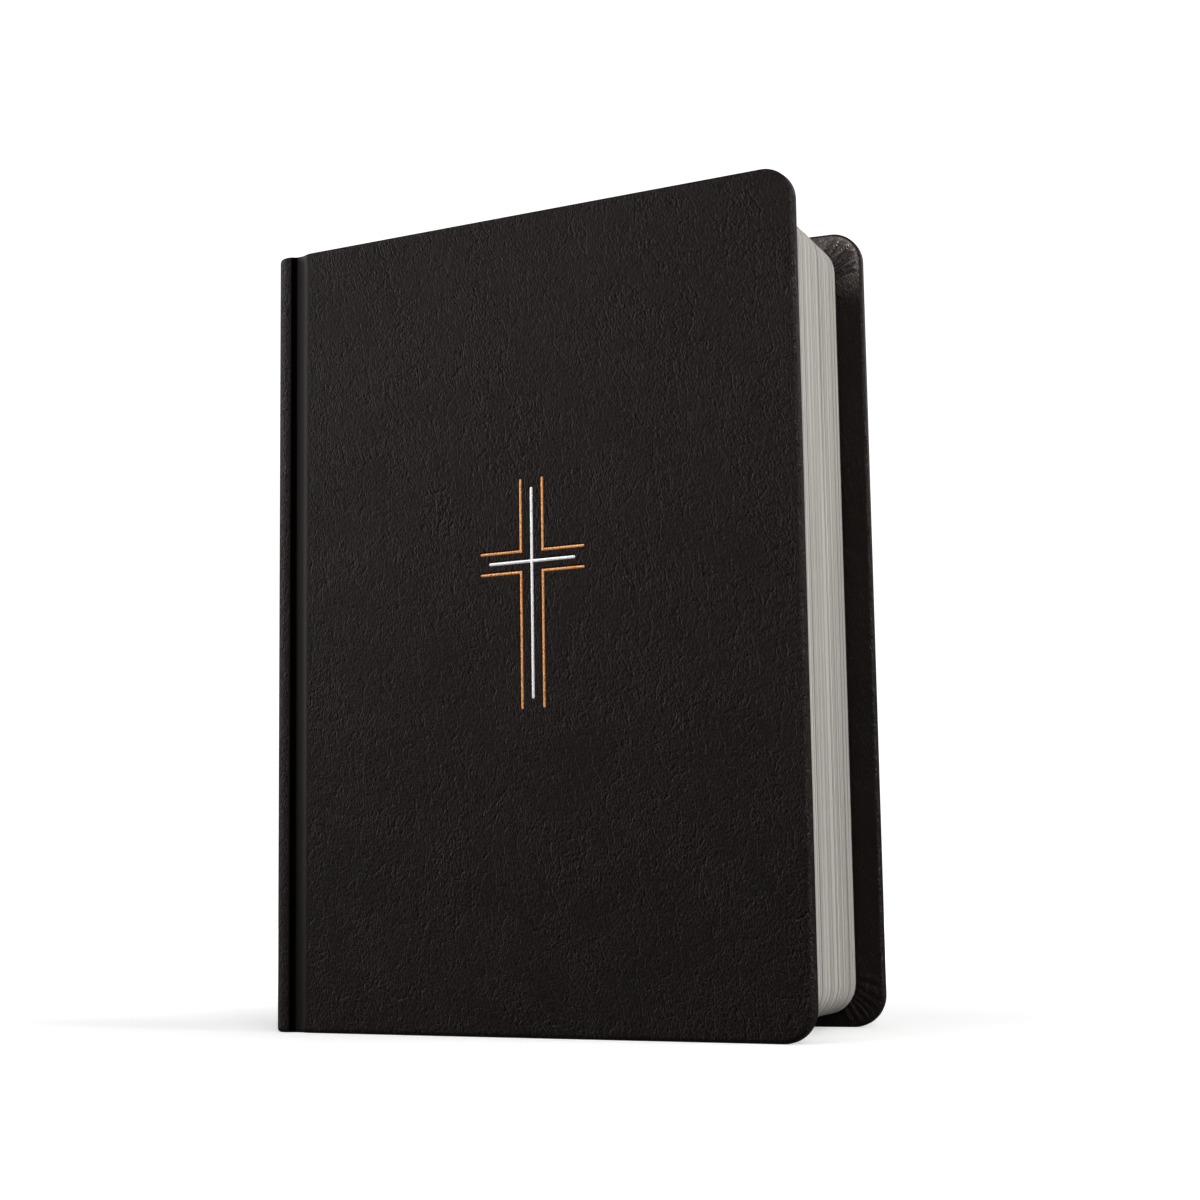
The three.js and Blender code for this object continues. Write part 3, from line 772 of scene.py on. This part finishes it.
def spine_skin():
    """The spine's leather, wrapped over its head and tail. Its grain goes on from the covers'."""
    tail = wrap_section(SPINE_DEPTH)
    ring = list(tail) + [(HEIGHT - inset, q) for inset, q in tail[::-1]]
    places, inward = spine_profile()
    points, closed, travelled = [], [], SEAM
    for i, ((x, y), (nx, ny)) in enumerate(zip(places, inward)):
        if i:
            travelled -= math.dist(places[i - 1], (x, y))
        for z, q in ring:
            points.append((x + nx * q, y + ny * q, z))
            closed.append((travelled, -HALF + RIDGE_DROP + q, z))
    faces = strip_faces(len(places), len(ring), ring=True) + end_caps(0, len(points), len(ring))
    piece = add_piece("spine_skin", points, faces, LEATHER, closed, [1.0] * len(points))
    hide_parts("spine_leather")
    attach(piece, "spine_and_block")


# ---- foil ----
FOIL_PLACES, CAP_PLACES, CAP_FROM, CAP_TO = 24, 6, 0.15, 1.52     # angles round a line's tip
ACROSS = spread(-1.0, 1.0, 7)           # across a foil line, in halves of its width


def foil_stations(length, half, rounded):
    """Places along a foil line, each with its share of the line's width."""
    stations = []
    for end, sign, is_round in ((0.0, -1, rounded[0]), (length, 1, rounded[1])):
        if sign > 0:
            stations += [(v, 1.0) for v in spread(stations[-1][0], end, FOIL_PLACES)[1:-1]]
        if is_round:
            angles = spread(CAP_FROM, CAP_TO, CAP_PLACES)
            cap = [(end + sign * half * math.sin(a), math.cos(a)) for a in angles]
        else:
            cap = [(end + sign * half, 1.0)]
        stations += cap[::sign]
    return stations


def foil_pieces():
    for name, lines in FOIL_LINES.items():
        points, faces = [], []
        for (x0, z0), tip, half, rounded in lines:
            length, ux, uz = line_direction((x0, z0), tip)
            stations = foil_stations(length, half, rounded)
            start = len(points)
            for along, share in stations:
                fall = TIP_FALL if share < 1 else FOIL_FALL
                upper = [(side, FOIL_CROWN + fall * side * side) for side in ACROSS]
                lower = [(side, FOIL_UNDER) for side in ACROSS[::-1]]
                for side, depth in upper + lower:
                    w = side * half * share
                    points.append((x0 + ux * along - uz * w, -HALF + depth, z0 + uz * along + ux * w))
            ring = 2 * len(ACROSS)
            faces += strip_faces(len(stations), ring, start, ring=True)
            faces += end_caps(start, len(points), ring)
        opened = turned(points, FRONT_HINGE, AJAR)
        silver = name == "foil_cross"
        material = SILVER if silver else COPPER
        piece = add_piece(name.replace("foil", "stamped"), opened, faces, material, points)
        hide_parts(name)
        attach(piece, "front_cover")


# ---- leaves ----
# places along x of the leaves' grid, and angles round their corners
LEAF_COLUMNS = (-6.9, -6.5, -5.6, -4.2, -2.6, -0.9, 1.0, 2.6, 5, 9, 16, 30, 50, 75, 100, 125, 138)
PAGE_ROUND = spread(0, math.pi / 2, 9)
ROOT_END, TURNING_START = 2.7, 1.0      # the sewn folds reach this far, and the turning leaves start here
LEAN, PULL, LIFT = 0.1, 0.13, 0.08      # how far a section or a bundle may stand out of line
ROOT_THICKNESS, ROOT_RUN = 0.16, 6.0    # share of a section's thickness at its fold
SLAB_HALF, FAN_HALF = 0.47, 0.34        # shares of a bundle's room, and of the fan's, that it fills
HALVINGS = 30


def share_of(index):
    """The share of its cover's opening that a section follows, counted from 1; 0 if it is fixed."""
    return abs(SHARES.get(f"section_{index:02d}_turn", 0.0))


def section_centre(index):
    return FIRST_SECTION + PITCH * (index - 1)


def corner_rise(beyond):
    """How far a leaf's rounded corner is inside its head or tail, beyond the corner's start."""
    return PAGE_CORNER - math.sqrt(max(PAGE_CORNER ** 2 - beyond ** 2, 0.0))


def slab_columns(x0, x1, corner_x):
    xs = [x for x in LEAF_COLUMNS if x0 <= x <= x1]
    if x1 > corner_x:
        xs += [corner_x + PAGE_CORNER * math.sin(a) for a in PAGE_ROUND]
    return xs


def leaf_stack(index, x0, x1, fan):
    """Bundles of leaves of one section between x0 and x1. fan is the opening share that each
    bundle has at rest, outermost first."""
    centre = section_centre(index)
    rear = index > SECTIONS // 2
    points, closed, faces = [], [], []
    step = SECTION_THICKNESS / SLABS
    lean = CHANCE.uniform(-LEAN, LEAN)
    for j in range(SLABS):
        middle = -SECTION_THICKNESS / 2 + step * (j + 0.5)
        pull, lift = lean + CHANCE.uniform(-PULL, PULL), CHANCE.uniform(-LIFT, LIFT)
        corner_x = PAGE_HIGH[0] - PAGE_CORNER + pull
        xs = slab_columns(x0, x1, corner_x)
        gap = (fan[j] - fan[j + 1]) * AJAR * (PAGE_HIGH[0] - GUTTER)
        base = len(points)
        for x in xs:
            bow = corner_rise(max(x - corner_x, 0.0))
            taper = ROOT_THICKNESS + (1 - ROOT_THICKNESS) * float(rising(x, PAGE_LOW[0], ROOT_RUN))
            far = max(x - GUTTER, 0.0) / (PAGE_HIGH[0] - GUTTER)
            half = (step * SLAB_HALF + max(gap, 0.0) * FAN_HALF * far) * taper
            low, high = PAGE_LOW[2] + bow + lift, PAGE_HIGH[2] - bow + lift
            y = centre + middle * taper
            closed += [(x, y - half, low), (x, y - half, high), (x, y + half, high), (x, y + half, low)]
        angle = AJAR * (fan[j] + fan[j + 1]) / 2 if not rear else 0.0
        points += list(turned(closed[base:], (GUTTER, centre), angle))
        faces += strip_faces(len(xs), 4, base, ring=True)
        faces += end_caps(base, len(points), 4)
    return points, closed, faces


def build_leaves():
    still = [0.0] * (SLABS + 1)
    roots = {"front_roots": ([], [], []), "back_roots": ([], [], [])}
    for index in range(1, SECTIONS + 1):
        name = f"section_{index:02d}"
        share, rear = share_of(index), index > SECTIONS // 2
        if share == 0.0:
            points, closed, faces = leaf_stack(index, PAGE_LOW[0], PAGE_HIGH[0], still)
            piece = add_piece(f"{name}_bundles", points, faces, PAPER, closed)
            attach(piece, "spine_and_block")
        else:
            points, closed, faces = leaf_stack(index, PAGE_LOW[0], ROOT_END, still)
            held = roots["back_roots" if rear else "front_roots"]
            held[2].extend(tuple(v + len(held[0]) for v in face) for face in faces)
            held[0].extend(points)
            held[1].extend(closed)
            inner = share_of(index - 1 if rear else index + 1)
            fan = still if rear else spread(share, inner, SLABS + 1)
            points, closed, faces = leaf_stack(index, TURNING_START, PAGE_HIGH[0], fan)
            piece = add_piece(f"{name}_bundles", points, faces, PAPER, closed)
            blend_across(piece, share, inner)
        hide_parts(name)
    for name, (points, closed, faces) in roots.items():
        piece = add_piece(f"{name}_folds", points, faces, PAPER, closed)
        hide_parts(name)
        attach(piece, "spine_and_block")


def blend_across(piece, share, inner):
    """Halves its way to the ease value that matches the next section's share of this one's turn, though nothing
    uses the result, and bakes the piece's placement into its mesh. The bundles' fan, from this section's turn down
    to the next one's, is set in leaf_stack."""
    target, low, high = inner / share, 0.0, 1.0
    for _ in range(HALVINGS):
        middle = (low + high) / 2
        low, high = (middle, high) if ease(middle) < target else (low, middle)
    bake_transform(piece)


# ---- endpapers ----
FLYLEAF_THICKNESS, STRIP_THICKNESS = 0.22, 0.24
FLYLEAF_BEND = (-2.0, 6.0)              # where along x a flyleaf is bent by its turn at rest
FLYLEAF_COLUMNS = spread(-3.0, 9.0, 25) + [20, 45, 70, 95, 120, 140]
FLYLEAF_ROUND = spread(0, math.pi / 2, 12)
STRIP_COLUMNS = spread(-5.6, 3.0, 30)   # the endpaper's strip across the joint
STRIP_INSET, STRIP_Y = 8.5, 21.72


def thin_sheet(name, xs, edge, thickness, y, angle, pivot, bend):
    """A sheet of endpaper along X at y; edge gives its inset from the cover's head and tail at x."""
    closed = []
    for x in xs:
        inset = edge(x)
        for yy, zz in ((y - thickness / 2, inset), (y - thickness / 2, HEIGHT - inset),
                       (y + thickness / 2, HEIGHT - inset), (y + thickness / 2, inset)):
            closed.append((x, yy, zz))
    faces = strip_faces(len(xs), 4, ring=True) + end_caps(0, len(closed), 4)
    return add_piece(name, bent(closed, pivot, angle, *bend), faces, ENDPAPER, closed)


def build_endpapers():
    corner_x = PAGE_HIGH[0] - PAGE_CORNER
    xs = FLYLEAF_COLUMNS + [corner_x + PAGE_CORNER * math.sin(a) for a in FLYLEAF_ROUND]

    def page_edge(x):
        return PAGE_LOW[2] + corner_rise(max(x - corner_x, 0.0))

    for side, sign in (("front", -1), ("back", 1)):
        y = joint_place(f"{side}_flyleaf_turn")[1] - ORIGIN[1]
        angle = AJAR * abs(SHARES[f"{side}_flyleaf_turn"]) if sign < 0 else 0.0
        piece = thin_sheet(f"{side}_flyleaf_sheet", xs, page_edge, FLYLEAF_THICKNESS, y, angle,
                           (GUTTER, y), FLYLEAF_BEND)
        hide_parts(f"{side}_flyleaf")
        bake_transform(piece)
        hinge_y = sign * HINGE_Y
        piece = thin_sheet(f"{side}_endpaper_hinge", STRIP_COLUMNS, lambda x: STRIP_INSET,
                           STRIP_THICKNESS, sign * STRIP_Y, AJAR if sign < 0 else 0.0,
                           (-HINGE_TO_EDGE, hinge_y), BEND)
        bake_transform(piece)


# ---- head and tail bands ----
BAND_PLACES, BAND_SIDES = 240, 14
SILK_PITCH, SILK_SWELL = 0.6, 0.07      # a turn of silk along the cord, and the share it swells by


def end_band(name):
    """Cord across the block's head or tail, in the CAD's box."""
    low, high = [np.array(corner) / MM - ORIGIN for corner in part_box(name)]
    centre, radius = (low + high) / 2, (high[2] - low[2]) / 2
    points = []
    for y in spread(low[1], high[1], BAND_PLACES):
        swell = radius * (1 - SILK_SWELL + SILK_SWELL * abs(math.sin(y * math.pi / SILK_PITCH)))
        for k in range(BAND_SIDES):
            a = 2 * math.pi * k / BAND_SIDES
            points.append((centre[0] + swell * math.cos(a), y, centre[2] + swell * math.sin(a)))
    faces = strip_faces(BAND_PLACES, BAND_SIDES, ring=True) + end_caps(0, len(points), BAND_SIDES)
    piece = add_piece(f"{name}_silk", points, faces, BAND)
    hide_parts(name)
    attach(piece, "spine_and_block")


cover_skin("front")
cover_skin("back")
spine_skin()
foil_pieces()
build_leaves()
build_endpapers()
end_band("head_band")
end_band("tail_band")

# ---- camera, floor and light, in metres ----
EYE = (0.24856, -0.59754, 0.04344)
YAW, TILT, ROLL = math.radians(21.32), math.radians(7.392), math.radians(-0.882)
LENS, SENSOR = 65.18, 36
FLOOR_SIDES, FLOOR_BEND_PLACES = 96, 16
FLOOR_MIDDLE, FLOOR_FLAT, FLOOR_BEND, FLOOR_TOP = 1.0, 2.5, 1.0, 5.0
FLOOR_DARK, FLOOR_LIGHT, CLOUD_SCALE = grey(0.90), grey(0.92), 3.0
GLOW_FROM, GLOW_TO, NEAR_GLOW = 0.12, 0.5, 0.34     # the floor glows fully only away from the book
WORLD_LIGHT = 0.08
LIGHTS = (                              # name, place, aim, size and power
    ("rim", (-1.45, -0.15, 0.60), (0, 0, 0.16), (1.1, 1.1), 8.6),
    ("key", (-0.78, -1.28, 0.86), (0, 0, 0.16), (0.9, 0.75), 5.8),
    ("fill", (1.4, -0.15, 0.6), (0, 0, 0.12), (0.6, 1.0), 16),
    ("glint", (0.8, -1.05, 0.9), (0.05, 0, 0.2), (0.4, 0.4), 5),
    ("back_right", (0.2, 1.5, 0.8), (0, 0, 0.12), (0.9, 0.8), 3),
    ("back_left", (-0.9, 1.25, 0.6), (0, 0, 0.12), (0.8, 0.8), 3),
    ("overhead", (0.1, -0.9, 2.0), (0, 0, 0.12), (2.0, 1.2), 7.5),
)


def add_camera():
    data = bpy.data.cameras.new("camera")
    data.lens = LENS
    data.sensor_width = SENSOR
    camera = bpy.data.objects.new("camera", data)
    bpy.context.scene.collection.objects.link(camera)
    turn = Matrix.Rotation(YAW, 4, "Z") @ Matrix.Rotation(math.pi / 2 + TILT, 4, "X")
    camera.matrix_world = Matrix.Translation(EYE) @ turn @ Matrix.Rotation(ROLL, 4, "Z")
    bpy.context.scene.camera = camera


def floor_material():
    """Pale and matt, and bright enough away from the book to pass for a lit studio."""
    material, tree, shader = surface("floor", {"Roughness": 0.9, "Specular IOR Level": 0.0})
    here = object_place(tree)
    cloud = noise(tree, here, CLOUD_SCALE)
    tree.links.new(mix(tree, cloud, FLOOR_DARK, FLOOR_LIGHT), shader.inputs["Base Color"])
    shader.inputs["Emission Color"].default_value = grey(1.0)
    away = add_node(tree, "VectorMath", {0: here}, operation="LENGTH").outputs["Value"]
    glow = rescale(tree, away, GLOW_FROM, GLOW_TO, NEAR_GLOW, 1.0)
    tree.links.new(glow, shader.inputs["Emission Strength"])
    return material


def add_floor():
    """A pale round floor that curves up into a wall on every side."""
    profile = [(FLOOR_MIDDLE, 0.0), (FLOOR_FLAT, 0.0)]
    for a in spread(0.0, math.pi / 2, FLOOR_BEND_PLACES)[1:]:
        profile.append((FLOOR_FLAT + FLOOR_BEND * math.sin(a), FLOOR_BEND * (1 - math.cos(a))))
    profile.append((FLOOR_FLAT + FLOOR_BEND, FLOOR_TOP))
    angles = [2 * math.pi * k / FLOOR_SIDES for k in range(FLOOR_SIDES)]
    points = [(r * math.cos(a), r * math.sin(a), z) for r, z in profile for a in angles]
    faces = [face[::-1] for face in strip_faces(len(profile), FLOOR_SIDES, ring=True)]
    faces.append(tuple(range(FLOOR_SIDES)))
    mesh = bpy.data.meshes.new("floor")
    mesh.from_pydata(points, [], faces)
    mesh.shade_smooth()
    mesh.materials.append(floor_material())
    floor = bpy.data.objects.new("floor", mesh)
    bpy.context.scene.collection.objects.link(floor)
    floor.visible_diffuse = False
    floor.visible_glossy = False
    floor.visible_shadow = False


def add_light(name, place, aim, size, power):
    data = bpy.data.lights.new(name, "AREA")
    data.shape = "RECTANGLE"
    data.size, data.size_y = size
    data.energy = power
    light = bpy.data.objects.new(name, data)
    bpy.context.scene.collection.objects.link(light)
    light.location = place
    light.rotation_euler = (Vector(aim) - Vector(place)).to_track_quat("-Z", "Y").to_euler()


def add_world():
    world = bpy.data.worlds.new("studio")
    bpy.context.scene.world = world
    world.use_nodes = True
    background = world.node_tree.nodes["Background"]
    background.inputs["Color"].default_value = grey(1.0)
    background.inputs["Strength"].default_value = WORLD_LIGHT


add_camera()
add_floor()
add_world()
for light in LIGHTS:
    add_light(*light)
bpy.context.scene.view_settings.view_transform = "Standard"
